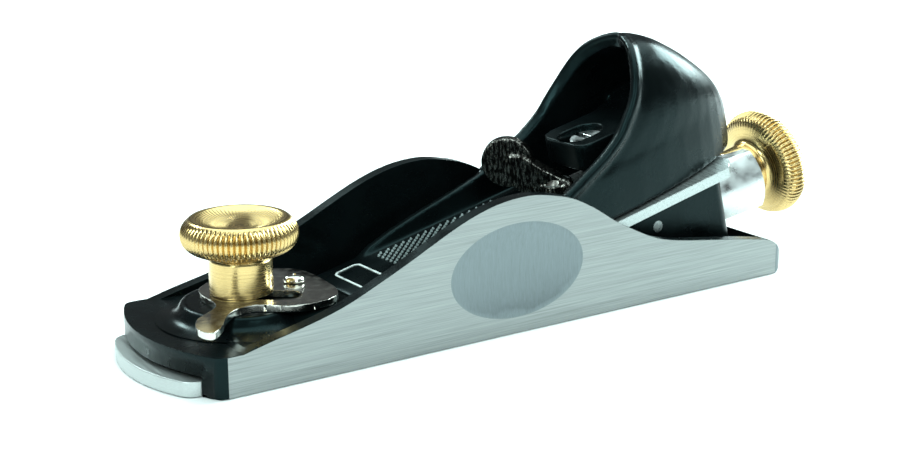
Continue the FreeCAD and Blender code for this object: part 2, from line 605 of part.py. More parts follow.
hood = hood_slices()
under = dim("cap_under")
scoop = hood_slices(inset=dim("cap_wall"), ahead=6.0, drop=dim("cap_wall"))
keep = Part.makeBox(60, 60, dim("cap_floor"), Vector(screw_at - 25, -30, 0))
hood = hood.cut(scoop.cut(keep))
inside = cap_half - dim("cap_wall")
hood = hood.cut(Part.makeBox(15.6, 2 * inside, 30, Vector(screw_at - 26, -inside, dim("cap_floor"))))
front, wall_start = dim("cap_front"), dim("wall_start")
floor_end = screw_at - 18
side = polygon([Vector(wall_start, 0, under), Vector(floor_end, 0, under), Vector(floor_end, 0, 13.6),
                Vector(wall_start + 26, 0, 11.6), Vector(wall_start + 15, 0, 9.6), Vector(wall_start, 0,
                        dim("cap_floor"))])
walls = []
for s in (-1, 1):
    wall = side.copy()
    wall.translate(Vector(0, s * cap_half - (dim("cap_wall") if s > 0 else 0), 0))
    walls.append(wall.extrude(Vector(0, dim("cap_wall"), 0)))
floor = Part.makeBox(floor_end + 12 - front, 2 * cap_half, dim("cap_floor") - under,
                     Vector(front, -cap_half, under))
lip_solid = Part.makeBox(2.5, 2 * cap_half, under - top - 0.1, Vector(front, -cap_half, top + 0.1))
lb, lt, lr = dim("ledge_bottom"), dim("ledge_top"), dim("ledge_radius")
ledge = Part.makeCylinder(lr, lt - lb, Vector(screw_at, 0, lb)).fuse(
    Part.makeBox(TAIL - 6, 2 * lr, lt - lb, Vector(screw_at, -lr, lb)))
ledge = ledge.common(hood_slices().fuse(Part.makeBox(30, 40, lt, Vector(screw_at - 15, -20, 0))))
cap = hood.fuse([*walls, floor, lip_solid, ledge]).removeSplitter()
head_r, shank_r, travel = dim("screw_head") + 0.4, dim("screw_radius") + 0.3, dim("cap_travel")
for radius, base, height in ((head_r, dim("screw_top") - 3.1, 8.0), (shank_r, 0.0, 30.0)):
    for x in (0.0, -travel):
        cap = cap.cut(Part.makeCylinder(radius, height, Vector(screw_at + x, 0, base)))
    cap = cap.cut(Part.makeBox(travel, 2 * radius, height, Vector(screw_at - travel, -radius, base)))
cam_at = screw_at - dim("cam_from_screw")
cap = cap.cut(Part.makeCylinder(dim("rivet_radius") + 0.02, 10, Vector(cam_at, 0, 0)))
sub_part("lever_cap", on_bed(feature("lever_cap_solid", cap)))
sub_part("lever_cap_screw", on_bed(cut("cap_screw_cut", fuse("cap_screw_solid",
                                        cylinder("cap_screw_shank", "screw_radius",
                                                 "screw_end + screw_top - 2", ("screw_at", 0,
                                                         "0 - screw_end")),
                                        cylinder("cap_screw_head", "screw_head", 3,
                                                 ("screw_at", 0, "screw_top - 3"))),
                                   box("cap_screw_slot", ("screw_at - 0.6", "screw_at + 0.6"), (-6, 6),
                                       ("screw_top - 1.2", "screw_top + 1")))))

# ---------------------------------------------------------------- cam lever
CAM = "screw_at - cam_from_screw"
bottom = dim("cap_floor") + dim("seat_gap")
angle = math.radians(dim("cam_angle"))
reach = dim("cam_reach")
out = Vector(math.cos(angle), math.sin(angle), 0)
across = Vector(-out.y, out.x, 0)
at = Vector(cam_at, 0, bottom)
thick = Vector(0, 0, dim("cam_thick"))
hub = Part.makeCylinder(4.6, thick.z, at)
tongue = polygon([at + across * 2.6, at + out * reach + across * 1.9, at + out * reach - across * 1.9,
                  at - across * 2.6]).extrude(thick)
post = polygon([at + out * along + Vector(0, 0, up) - across * 1.7 for along, up in
                ((3.9, 0), (reach - 1, 0), (reach + 1.5, 2.6), (reach + 1.5, 8), (reach - 3, 8), (3.9, 3))])
post = post.extrude(across * 3.4)
pad_at = at + out * reach + Vector(0, 0, 9.8)
pad = Part.makeCylinder(dim("pad_radius"), dim("pad_thick"), pad_at - across * (dim("pad_thick") / 2), across)
cam = hub.fuse([tongue, post, pad]).cut(Part.makeCylinder(dim("rivet_radius") + 0.05, 20, at - thick))
sub_part("cam_lever", on_bed(feature("cam_lever_solid", cam)))
TOP = "cap_floor + seat_gap + cam_thick"
sub_part("cam_washer", on_bed(cut("cam_washer_cut", cylinder("cam_washer_disc", 3.4, 0.5,
                                                             (CAM, 0, TOP + " + 0.05")),
                                  cylinder("cam_washer_hole", "rivet_radius + 0.02", 3,
                                           (CAM, 0, TOP + " - 1")))))
sub_part("cam_rivet", on_bed(fuse("cam_rivet_solid",
                                  cylinder("rivet_shank", "rivet_radius", TOP + " + 0.8 - cap_under + 1.2",
                                           (CAM, 0, "cap_under - 1.2")),
                                  cylinder("rivet_foot", "rivet_radius + 1", 1.15,
                                           (CAM, 0, "cap_under - 1.2")),
                                  cone("rivet_head", "rivet_radius + 1.1", "rivet_radius", 1,
                                       (CAM, 0, TOP + " + 0.6")))))

# ---------------------------------------------------------------- checks and files
doc.recompute()
for obj in doc.Objects:
    if "Invalid" in obj.State or "Error" in obj.State:
        raise RuntimeError(f"{obj.Label} did not recompute")
os.makedirs("parts", exist_ok=True)
for node, obj in SUB_PARTS.items():
    shape = obj.Shape
    if shape.isNull() or not shape.isValid() or not shape.Solids:
        raise RuntimeError(f"{node} has no valid solid")
    size = shape.BoundBox
    print(f"{node}: {len(shape.Solids)} solid, {shape.Volume:.0f} mm3, {size.XMin:.1f}..{size.XMax:.1f}, "
          f"{size.YMin:.1f}..{size.YMax:.1f}, {size.ZMin:.1f}..{size.ZMax:.1f}")
    shape.exportStep(f"parts/{node}.step")
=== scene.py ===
"""Low-angle block plane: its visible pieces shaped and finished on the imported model's frame."""

import json
import math

import bmesh
import bpy
from bpy.props import FloatProperty, FloatVectorProperty, IntProperty, PointerProperty
from mathutils import Matrix, Vector


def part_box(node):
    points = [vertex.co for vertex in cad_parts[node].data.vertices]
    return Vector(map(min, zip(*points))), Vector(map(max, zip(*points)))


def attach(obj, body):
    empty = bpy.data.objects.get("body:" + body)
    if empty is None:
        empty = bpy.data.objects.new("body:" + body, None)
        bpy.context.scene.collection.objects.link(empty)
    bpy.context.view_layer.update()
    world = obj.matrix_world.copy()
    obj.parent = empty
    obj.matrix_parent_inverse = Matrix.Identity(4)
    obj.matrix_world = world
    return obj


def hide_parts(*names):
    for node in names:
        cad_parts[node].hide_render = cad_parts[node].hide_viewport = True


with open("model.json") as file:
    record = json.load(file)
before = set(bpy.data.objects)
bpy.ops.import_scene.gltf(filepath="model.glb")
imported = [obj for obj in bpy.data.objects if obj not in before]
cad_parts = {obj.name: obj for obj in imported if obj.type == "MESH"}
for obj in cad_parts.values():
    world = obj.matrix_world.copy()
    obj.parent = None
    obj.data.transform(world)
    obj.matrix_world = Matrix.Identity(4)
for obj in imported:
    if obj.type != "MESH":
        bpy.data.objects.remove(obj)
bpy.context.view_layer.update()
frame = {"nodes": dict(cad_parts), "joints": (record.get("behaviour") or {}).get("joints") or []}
NODES = frame["nodes"]

bl_info = {
    "name": "Block plane",
    "version": (1, 0, 0),
    "blender": (4, 5, 0),
    "location": "View3D > Sidebar > Plane",
    "description": "Shapes and finishes the pieces of a low-angle block plane",
    "category": "Object",
}

# ---------------------------------------------------------------- measures from the frame
MM = 0.001


def joint(name):
    """The frame's record of one joint."""
    return [j for j in frame["joints"] if j["name"] == name][0]


UP_BED = Vector(joint("cap_slide")["axis"])
SQUARE = Vector(joint("cap_screw_turn")["axis"])
SCREW = Vector(joint("cap_screw_turn")["pos_m"])
CAM = Vector(joint("cam_swing")["pos_m"])
KNOB = Vector(joint("knob_turn")["pos_m"])
WHEEL = Vector(joint("wheel_spin")["pos_m"])
ACROSS = Vector((0, 1, 0))


def bed_matrix():
    """Bed coordinates to the part's frame: X up the bed from the cutting edge, Z square to it."""
    span = SCREW - Vector((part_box("plane_iron")[0].x, 0, 0))
    matrix = Matrix((UP_BED, ACROSS, SQUARE)).transposed().to_4x4()
    matrix.translation = SCREW - UP_BED * span.dot(UP_BED) - SQUARE * span.dot(SQUARE)
    return matrix


BED = bed_matrix()
TO_BED = BED.inverted()
# Places along the bed in millimetres from the cutting edge.
SCREW_AT = (TO_BED @ SCREW).x / MM
CAM_AT = (TO_BED @ CAM).x / MM


def linear(colour):
    """sRGB hex to linear RGBA."""
    channels = [int(colour[i:i + 2], 16) / 255 for i in (0, 2, 4)]
    return tuple(c / 12.92 if c <= 0.04045 else ((c + 0.055) / 1.055) ** 2.4 for c in channels) + (1.0,)


# ---------------------------------------------------------------- properties
def length(name, description, default):
    """A length in millimetres that the user can change."""
    return FloatProperty(name=name, description=description, default=default * MM, unit="LENGTH",
                         subtype="DISTANCE")


def colour(name, description, default):
    """A colour, given as sRGB hex, that the user can change."""
    return FloatVectorProperty(name=name, description=description, size=4, subtype="COLOR", min=0, max=1,
                               default=linear(default))


class PlaneSizes(bpy.types.PropertyGroup):
    edge: length("Edge rounding", "Rounding on machined edges", 0.25)
    nose_edge: length("Nose rounding", "Rounding on the toe end of the casting", 2.6)
    cheek_edge: length("Cheek rounding", "Rounding on the top of the cheeks", 0.75)
    block_edge: length("Block rounding", "Rounding on the corners of the rear block", 3.0)
    knurl_depth: length("Knurl depth", "Depth of the knurl on knob and wheel", 0.6)
    knurl_count: IntProperty(name="Knurl ridges", description="Ridges round the knob", default=66, min=20,
                             max=200)
    stud_pitch: length("Grip pitch", "Spacing of the raised diamonds in the cap's trough", 1.7)
    stud_width: length("Grip width", "Width of one raised diamond", 1.0)
    cap_voxel: length("Cap detail", "Cell size of the cast cap", 0.45)
    cam_voxel: length("Cam detail", "Cell size of the cast cam lever", 0.22)


class PlaneFinishes(bpy.types.PropertyGroup):
    ground: colour("Ground iron", "Ground sides and sole", "969B9A")
    enamel: colour("Black enamel", "Enamel of the casting and the cap", "070B0C")
    brass: colour("Brass", "Lacquered brass of knob and wheel", "D6B87C")
    nickel: colour("Nickel", "Bright nickel plate", "D6D4CC")
    satin: colour("Satin nickel", "Satin nickel of the lateral lever", "DDE2E2")
    blade: colour("Blade steel", "Ground steel of the iron", "B4BDBC")
    oval: colour("Ground oval", "Cross-ground ovals of the cheeks", "7A8487")
    # Painted highlight: the grip's diamonds are black enamel, given this lighter grey to stand in for the glints
    # on them.
    grip: colour("Grip painted highlight", "Enamel of the grip's diamonds, lightened as painted highlight", "8A9696")
    paint: colour("Panel paint", "Pale paint of the panel's border", "D3DEDC")


# ---------------------------------------------------------------- materials
def add(tree, kind, inputs=(), **settings):
    """Adds one node, with its settings and its inputs, each a value or a socket to link."""
    node = tree.nodes.new(kind)
    for key, value in settings.items():
        setattr(node, key, value)
    for key, value in dict(inputs).items():
        if isinstance(value, bpy.types.NodeSocket):
            tree.links.new(value, node.inputs[key])
        else:
            node.inputs[key].default_value = value
    return node


def new_finish(name, base, metallic, roughness, **more):
    """A material with one shader. Returns it, its tree, its shader and its Object coordinates."""
    material = bpy.data.materials.new(name)
    material.use_nodes = True
    tree = material.node_tree
    tree.nodes.clear()
    inputs = {"Base Color": base, "Metallic": metallic, "Roughness": roughness}
    inputs.update({key.replace("_", " ").title(): value for key, value in more.items()})
    shader = add(tree, "ShaderNodeBsdfPrincipled", inputs)
    add(tree, "ShaderNodeOutputMaterial", {"Surface": shader.outputs["BSDF"]})
    where = add(tree, "ShaderNodeTexCoord").outputs["Object"]
    return material, tree, shader, where


def shade(base, factor):
    """A darker or lighter tone of a colour."""
    return tuple(c * factor for c in base[:3]) + (1.0,)


def show(tree, shader, pattern, tones=(), span=(0.35, 0.65), gloss=(), gloss_span=(0.35, 0.65), relief=0):
    """Shows a pattern on a surface as two tones, two roughnesses and a relief in millimetres."""
    if tones:
        blend = add(tree, "ShaderNodeValToRGB", {"Fac": pattern})
        for stop, position, tone in zip(blend.color_ramp.elements, span, tones):
            stop.position, stop.color = position, tone
        tree.links.new(blend.outputs["Color"], shader.inputs["Base Color"])
    if gloss:
        rough = add(tree, "ShaderNodeMapRange", {"Value": pattern, "From Min": gloss_span[0],
                                                 "From Max": gloss_span[1], "To Min": gloss[0],
                                                 "To Max": gloss[1]})
        tree.links.new(rough.outputs["Result"], shader.inputs["Roughness"])
    if relief:
        raised_by = add(tree, "ShaderNodeBump", {"Height": pattern, "Distance": relief * MM, "Strength": 1.0})
        tree.links.new(raised_by.outputs["Normal"], shader.inputs["Normal"])


def ground_metal(name, base, stretch, roughness=0.36, contrast=0.16, depth=0.012):
    """Cast iron or steel ground on a belt: it shines in streaks along scratches 0.2 mm and 0.6 mm apart.

    The real scratches are finer, and are drawn as coarse as they need to show. stretch says how many times
    longer they run along each axis.
    """
    material, tree, shader, where = new_finish(name, base, 0.85, roughness)
    fine = add(tree, "ShaderNodeMapping", {"Vector": where, "Scale": tuple(4500 / s for s in stretch)})
    broad = add(tree, "ShaderNodeMapping", {"Vector": where, "Scale": tuple(1600 / s for s in stretch)})
    scratch = add(tree, "ShaderNodeTexNoise", {"Vector": fine.outputs[0], "Scale": 1.0, "Detail": 3.0,
                                               "Roughness": 0.65}).outputs["Fac"]
    streak = add(tree, "ShaderNodeTexNoise", {"Vector": broad.outputs[0], "Scale": 1.0,
                                              "Detail": 2.0}).outputs["Fac"]
    both = add(tree, "ShaderNodeMath", {0: streak, 1: 0.5, 2: scratch}, operation="MULTIPLY_ADD").outputs[0]
    show(tree, shader, both, (shade(base, 1 - contrast), shade(base, 1 + contrast * 0.6)), (0.5, 1.0),
         (roughness - 0.06, roughness + 0.08), (0.6, 0.9))
    show(tree, shader, scratch, relief=depth)
    return material


def enamel(name, base, roughness=0.25):
    """Black epoxy enamel sprayed on a casting: a deep gloss with a faint orange peel 1.2 mm across."""
    material, tree, shader, where = new_finish(name, base, 0.0, roughness, specular_tint=linear("9CD6DA"))
    shader.inputs["Specular IOR Level"].default_value = 0.22
    peel = add(tree, "ShaderNodeTexNoise", {"Vector": where, "Scale": 850.0, "Detail": 2.0}).outputs["Fac"]
    dull = add(tree, "ShaderNodeTexNoise", {"Vector": where, "Scale": 90.0, "Detail": 4.0}).outputs["Fac"]
    show(tree, shader, dull, (shade(base, 0.8), shade(base, 1.5)), (0.35, 0.7),
         (roughness - 0.05, roughness + 0.12))
    show(tree, shader, peel, relief=0.03)
    return material


def turned_brass(name, base, centre, axis):
    """Brass turned on a lathe and lacquered: fine rings round its axis, 0.2 to 0.6 mm apart."""
    material, tree, shader, where = new_finish(name, base, 1.0, 0.24, coat_weight=0.25, coat_roughness=0.12)
    turn = axis.to_track_quat("Z", "Y").to_matrix().to_4x4()
    turn.translation = centre
    back = turn.inverted()
    local = add(tree, "ShaderNodeMapping", {"Vector": where, "Location": back.translation,
                                            "Rotation": back.to_euler()}).outputs[0]
    split = add(tree, "ShaderNodeSeparateXYZ", {0: local}).outputs
    flat = add(tree, "ShaderNodeCombineXYZ", {"X": split["X"], "Y": split["Y"]}).outputs[0]
    radius = add(tree, "ShaderNodeVectorMath", {0: flat}, operation="LENGTH").outputs["Value"]
    along = add(tree, "ShaderNodeMath", {0: radius, 1: split["Z"]}, operation="ADD").outputs[0]
    rings = add(tree, "ShaderNodeTexNoise", {"W": along, "Scale": 2600.0, "Detail": 3.0},
                noise_dimensions="1D").outputs["Fac"]
    cloud = add(tree, "ShaderNodeTexNoise", {"Vector": where, "Scale": 160.0, "Detail": 3.0}).outputs["Fac"]
    show(tree, shader, cloud, (shade(base, 0.86), base))
    show(tree, shader, rings, gloss=(0.2, 0.3), relief=0.004)
    return material


def plated(name, base, roughness=0.16, pit=0.004, scale=500.0):
    """Nickel plate over steel: near mirror, with the slight waviness of the metal under it, 2 to 3 mm across."""
    material, tree, shader, where = new_finish(name, base, 1.0, roughness)
    wave = add(tree, "ShaderNodeTexNoise", {"Vector": where, "Scale": scale, "Detail": 4.0}).outputs["Fac"]
    show(tree, shader, wave, (shade(base, 0.88), base), (0.35, 0.6), (roughness * 0.7, roughness * 1.5),
         relief=pit)
    return material


def sand_cast_plated(name, base):
    """Nickel plate straight over a sand casting, painted darker than plain nickel: lighter peaks between pits
    darkened as painted shade, 0.4 to 0.8 mm across.
    """
    material, tree, shader, where = new_finish(name, base, 1.0, 0.26)
    grain = add(tree, "ShaderNodeTexVoronoi", {"Vector": where, "Scale": 1500.0}).outputs["Distance"]
    tall = add(tree, "ShaderNodeMapping", {"Vector": where, "Scale": (1.0, 1.0, 0.25)}).outputs[0]
    lump_and_pit_shade = add(tree, "ShaderNodeTexNoise", {"Vector": tall, "Scale": 2200.0, "Detail": 3.0}).outputs["Fac"]
    height = add(tree, "ShaderNodeMath", {0: grain, 1: lump_and_pit_shade}, operation="ADD").outputs[0]
    # Painted shade: the nickel goes near black in the pits and stays darker than plain nickel on the peaks.
    show(tree, shader, lump_and_pit_shade, (shade(base, 0.03), shade(base, 0.55)), (0.45, 0.68))
    show(tree, shader, height, relief=0.07)
    return material


def painted(name, base):
    """Thin matt paint wiped over a cast border, worn in places 1.4 mm across."""
    material, tree, shader, where = new_finish(name, base, 0.0, 0.55)
    wear = add(tree, "ShaderNodeTexNoise", {"Vector": where, "Scale": 700.0, "Detail": 3.0}).outputs["Fac"]
    show(tree, shader, wear, (shade(base, 0.6), base), (0.35, 0.5), relief=0.01)
    return material


FINISHES = {}


def make_finishes(c):
    """Fills FINISHES from the user's colours."""
    FINISHES.update({
        "ground": ground_metal("ground_cast_iron", c.ground, (70, 1, 0.8), 0.34, 0.3, 0.016),
        "ground_oval": ground_metal("ground_oval_cast_iron", c.oval, (1, 1, 14), 0.4, 0.2),
        "sole": ground_metal("ground_sole_iron", shade(c.ground, 1.9), (1, 30, 1), 0.4, 0.1),
        "enamel": enamel("black_epoxy_enamel", c.enamel),
        "knob_brass": turned_brass("turned_brass_knob", c.brass, KNOB, Vector((0, 0, 1))),
        "wheel_brass": turned_brass("turned_brass_wheel", c.brass, WHEEL, UP_BED),
        "nickel": plated("bright_nickel_plate", c.nickel),
        "cast_nickel": sand_cast_plated("sand_cast_nickel_plate", shade(c.nickel, 0.9)),
        "satin": plated("satin_nickel_plate", c.satin, 0.34, 0.006, 300.0),
        "blade": ground_metal("ground_blade_steel", c.blade, (1, 20, 1), 0.3, 0.2),
        "steel": plated("bright_steel", shade(c.blade, 0.8), 0.3),
        "paint": painted("panel_paint", c.paint),
        # Painted highlight: the grip's black enamel diamonds are lightened to grey in place of their glints.
        "grip": enamel("grip_enamel_painted_highlight", c.grip, 0.3),
    })


# ---------------------------------------------------------------- shaping helpers
def raised(bm, points, vector):
    """A closed solid: a flat outline pushed along vector."""
    base = bm.faces.new([bm.verts.new(p) for p in points])
    top = bmesh.ops.extrude_face_region(bm, geom=[base], use_keep_orig=True)["geom"]
    bmesh.ops.translate(bm, vec=vector, verts=[g for g in top if isinstance(g, bmesh.types.BMVert)])
    return bm


def side_solid(bm, outline, low, high):
    """A solid from an outline in bed X and Z, between two widths."""
    return raised(bm, [Vector((x, low, z)) for x, z in outline], Vector((0, high - low, 0)))


def plan_solid(bm, outline, low, high):
    """A solid from an outline in bed X and Y, between two heights."""
    return raised(bm, [Vector((x, y, low)) for x, y in outline], Vector((0, 0, high - low)))


def turned(profile, steps):
    """A solid of revolution about Z from (radius, height) pairs in millimetres."""
    bm = bmesh.new()
    verts = [bm.verts.new((r, 0, z)) for r, z in profile]
    edges = [bm.edges.new(pair) for pair in zip(verts, verts[1:])]
    bmesh.ops.spin(bm, geom=verts + edges, axis=(0, 0, 1), cent=(0, 0, 0), steps=steps, angle=math.tau,
                   use_merge=True)
    bmesh.ops.remove_doubles(bm, verts=bm.verts, dist=1e-4)
    return bm


def tidy(bm):
    """Merges doubles and turns the faces outwards."""
    bmesh.ops.remove_doubles(bm, verts=bm.verts, dist=1e-6)
    bmesh.ops.recalc_face_normals(bm, faces=bm.faces)
    return bm


def stand(bm, place):
    """Puts a shape drawn in millimetres in its place."""
    bmesh.ops.transform(bm, matrix=place @ Matrix.Scale(MM, 4), verts=bm.verts)
    return bm


def piece(name, bm, body, nodes, finishes, smooth=35):
    """Makes the finished piece from its mesh, in place of the CAD nodes it stands for."""
    mesh = bpy.data.meshes.new(name)
    bm.to_mesh(mesh)
    bm.free()
    return piece_from_mesh(name, mesh, body, nodes, finishes, smooth)


def piece_from_mesh(name, mesh, body, nodes, finishes, smooth=35):
    """Makes the finished piece from a mesh. Edges sharper than smooth degrees stay sharp."""
    if not mesh.polygons:
        raise RuntimeError(name + " has no faces")
    obj = bpy.data.objects.new(name, mesh)
    bpy.context.scene.collection.objects.link(obj)
    for finish in finishes:
        mesh.materials.append(FINISHES[finish])
    mesh.polygons.foreach_set("use_smooth", [True] * len(mesh.polygons))
    mesh.set_sharp_from_angle(angle=math.radians(smooth))
    mesh.update()
    if smooth < 90:
        weighted = obj.modifiers.new("weighted", "WEIGHTED_NORMAL")
        weighted.keep_sharp = True
    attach(obj, body)
    if nodes:
        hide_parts(*nodes)
    return obj


def baked(bm, *modifiers):
    """The mesh that a shape gives under some modifiers."""
    mesh = bpy.data.meshes.new("blank")
    bm.to_mesh(mesh)
    bm.free()
    obj = bpy.data.objects.new("blank", mesh)
    bpy.context.scene.collection.objects.link(obj)
    for kind, settings in modifiers:
        modifier = obj.modifiers.new(kind.lower(), kind)
        for key, value in settings.items():
            setattr(modifier, key, value)
    bpy.context.view_layer.update()
    done = bpy.data.meshes.new_from_object(obj.evaluated_get(bpy.context.evaluated_depsgraph_get()))
    bpy.data.objects.remove(obj)
    return done


def from_node(node):
    """A merged copy of a CAD node's mesh, its flat faces made whole again."""
    bm = bmesh.new()
    bm.from_mesh(NODES[node].data)
    bmesh.ops.remove_doubles(bm, verts=bm.verts, dist=3e-6)
    bmesh.ops.dissolve_limit(bm, angle_limit=math.radians(0.1), verts=bm.verts, edges=bm.edges,
                             use_dissolve_boundaries=False)
    return bm


def soften(bm, amount, segments=2, angle=30, pick=lambda edge: True):
    """Rounds the picked edges that turn by more than angle degrees."""
    edges = [e for e in bm.edges
             if e.is_manifold and e.calc_face_angle() > math.radians(angle) and pick(e)]
    bmesh.ops.bevel(bm, geom=edges, affect="EDGES", offset=amount, offset_type="OFFSET", segments=segments,
                    profile=0.5, material=-1, clamp_overlap=True)
    return bm


def finish_node(node, finish):
    """Gives a finish to a CAD node that stays as it is."""
    mesh = NODES[node].data
    mesh.materials.clear()
    mesh.materials.append(FINISHES[finish])


# ---------------------------------------------------------------- operators
class PieceOperator:
    """What every piece's operator shares."""
    bl_options = {"REGISTER", "UNDO"}

    def execute(self, context):
        self.make(context.scene.plane_sizes)
        return {"FINISHED"}


class PLANE_OT_finishes(bpy.types.Operator):
    """Makes the metals, the enamel and the paint"""
    bl_idname = "plane.finishes"
    bl_label = "Finishes"

    def execute(self, context):
        make_finishes(context.scene.plane_finishes)
        return {"FINISHED"}


# The casting's finishes, in the order of its material slots.
CASTING_FINISHES = ["enamel", "ground", "ground_oval", "sole"]
ENAMEL, GROUND, OVAL, SOLE = range(4)
OVALS_FROM_X = -0.03     # the ovals lie behind this


class PLANE_OT_casting(PieceOperator, bpy.types.Operator):
    """Shapes the casting: ground cheeks and sole, enamel elsewhere"""
    bl_idname = "plane.casting"
    bl_label = "Casting"

    def make(self, sizes):
        bm = from_node("body_casting")
        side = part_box("body_casting")[1].y
        hair = 0.01 * MM
        for face in bm.faces:
            out, facing = abs(face.calc_center_median().y), abs(face.normal.y)
            if facing > 0.999 and out > side - 2 * hair:
                face.material_index = GROUND
            elif facing > 0.9 and out > side - 1.4 * MM and face.calc_center_median().x > OVALS_FROM_X:
                face.material_index = OVAL
            elif face.normal.z < -0.999 and face.calc_center_median().z < hair:
                face.material_index = SOLE
        toe = max(v.co.z for v in bm.verts if v.co.x < KNOB.x - 13.5 * MM)

        def nose_edge(edge):
            a, b = (v.co for v in edge.verts)
            return max(a.x, b.x) < KNOB.x - 11 * MM and min(a.z, b.z) > toe - 2 * hair

        def cheek_edge(edge):
            a, b = (v.co for v in edge.verts)
            same_side = a.y * b.y > 0 and abs(abs(a.y) - abs(b.y)) < hair
            return same_side and abs(a.y) > side - 3.1 * MM and min(a.z, b.z) > toe + hair

        def block_corner(edge):
            a, b = (TO_BED @ v.co for v in edge.verts)
            upright = abs(a.x - b.x) < 5 * hair and abs(a.z - b.z) > 8 * MM and a.z < 10 * hair
            return upright and a.x > SCREW_AT * MM + 20 * MM and 9 * MM < abs(a.y) < 14 * MM

        soften(bm, sizes.nose_edge, 5, 50, nose_edge)
        soften(bm, sizes.cheek_edge, 3, 50, cheek_edge)
        soften(bm, sizes.block_edge, 6, 50, block_corner)
        # The rounded edges are enamelled, not ground.
        for face in bm.faces:
            least = {GROUND: 0.995, OVAL: 0.9}.get(face.material_index, 0)
            if abs(face.normal.y) < least:
                face.material_index = ENAMEL
        piece("casting", bm, "casting", ["body_casting"], CASTING_FINISHES)
        self.make_mounds()

    def make_mounds(self):
        """Hollow fillets that run from the lever's seat down to the deck."""
        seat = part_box("eccentric_lever")[0].z / MM - 0.1
        fall = [(0, 0), (0.35, -0.04), (0.8, -0.3), (1.2, -0.8), (1.7, -1.6), (2.4, -2.3), (3.4, -2.85),
                (4.8, -3.2), (6.2, -3.38), (6.2, -4.2), (-0.4, -4.2), (-0.4, 0)]
        # Where the mouth and the insides of the cheeks cut them off.
        walls = (((-0.0409, 0, 0), (1, 0, 0)), ((0, 0.0193, 0), (0, 1, 0)), ((0, -0.0193, 0), (0, -1, 0)))
        pivot = joint("eccentric_swing")["pos_m"][0]
        for name, x, radius in (("knob_mound", KNOB.x, 12.0), ("pivot_mound", pivot, 13.0)):
            bm = turned([(radius + r, seat + z) for r, z in fall + fall[:1]], 120)
            stand(tidy(bm), Matrix.Translation((x, 0, 0)))
            for at, out in walls:
                cut = bmesh.ops.bisect_plane(bm, geom=bm.verts[:] + bm.edges[:] + bm.faces[:], plane_co=at,
                                             plane_no=out, clear_outer=True)["geom_cut"]
                bmesh.ops.holes_fill(bm, edges=[g for g in cut if isinstance(g, bmesh.types.BMEdge)])
            piece(name, tidy(bm), "casting", [], ["enamel"])


class PLANE_OT_toe_plate(PieceOperator, bpy.types.Operator):
    """Shapes the adjustable toe plate"""
    bl_idname = "plane.toe_plate"
    bl_label = "Toe plate"

    def make(self, sizes):
        bm = soften(from_node("throat_plate"), sizes.edge)
        piece("toe_plate", bm, "toe_shoe", ["throat_plate"], ["sole"])


def knurled(bm, count, depth, low, high):
    """Cuts straight ridges into a rim between two heights, deepest at its middle."""
    for vert in bm.verts:
        radius = math.hypot(vert.co.x, vert.co.y)
        if radius < 1 or not low < vert.co.z < high:
            continue
        share = (vert.co.z - low) / (high - low)
        ridge = 1 - abs(math.cos(count / 2 * math.atan2(vert.co.y, vert.co.x)))
        cutting = depth * ridge * min(1.0, 5 * share, 5 * (1 - share))
        vert.co.xy *= (radius - cutting) / radius
    return bm


# Half-sections of the knob and the wheel: radius and height, or distance towards the heel, in millimetres.
KNOB_PROFILE = [
    (0, 0), (6.5, 0), (6.7, 0.25), (6.7, 7.0), (6.85, 7.7), (7.4, 8.3), (8.6, 8.75), (9.6, 9.0), (10.5, 9.4),
    (11.3, 10.0), (11.95, 10.8), (12.28, 11.7), (12.4, 12.6), (12.3, 13.5), (12.0, 14.3), (11.5, 15.05),
    (10.95, 15.6), (10.7, 15.85), (10.2, 16.12), (9.8, 16.18), (9.4, 16.0), (8.8, 15.6), (7.5, 15.1),
    (5.5, 14.65), (3.0, 14.35), (0, 14.25)]
WHEEL_PROFILE = [
    (0, -8), (6.5, -8), (6.7, -7.75), (6.7, -1.2), (6.95, -0.5), (7.7, 0.05), (9.0, 0.3), (10.6, 0.75),
    (11.2, 1.0), (11.7, 1.25), (12.35, 1.6), (12.95, 2.3), (13.3, 3.2), (13.45, 4.15), (13.35, 5.1),
    (13.0, 6.0), (12.4, 6.8), (11.8, 7.4), (11.3, 7.75), (10.7, 7.95), (10.1, 7.8), (9.3, 7.3), (7.5, 6.8),
    (4.5, 6.4), (0, 6.3)]
KNOB_RIM, WHEEL_RIM = (8.9, 15.9), (0.6, 7.9)     # heights between which each rim is knurled
STEPS_PER_RIDGE = 8
WHEEL_RIDGES = 1.09     # the wheel is this much larger than the knob, with ridges of the same width


class PLANE_OT_knobs(PieceOperator, bpy.types.Operator):
    """Turns and knurls the front knob and the adjusting wheel"""
    bl_idname = "plane.knobs"
    bl_label = "Knob and wheel"

    def make(self, sizes):
        count, depth = sizes.knurl_count, sizes.knurl_depth / MM
        bm = knurled(turned(KNOB_PROFILE, count * STEPS_PER_RIDGE), count, depth, *KNOB_RIM)
        stand(tidy(bm), Matrix.Translation((KNOB.x, 0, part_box("front_knob")[0].z)))
        piece("knob", bm, "knob", ["front_knob"], ["knob_brass"], 50)
        face = min((TO_BED @ v.co).x for v in NODES["adjusting_wheel"].data.vertices)
        place = Matrix.Translation((face - WHEEL_PROFILE[0][1] * MM, 0, (TO_BED @ WHEEL).z))
        count = round(count * WHEEL_RIDGES)
        bm = knurled(turned(WHEEL_PROFILE, count * STEPS_PER_RIDGE), count, depth, *WHEEL_RIM)
        stand(tidy(bm), BED @ place @ Matrix.Rotation(math.pi / 2, 4, "Y"))
        piece("wheel", bm, "wheel", ["adjusting_wheel"], ["wheel_brass"], 50)


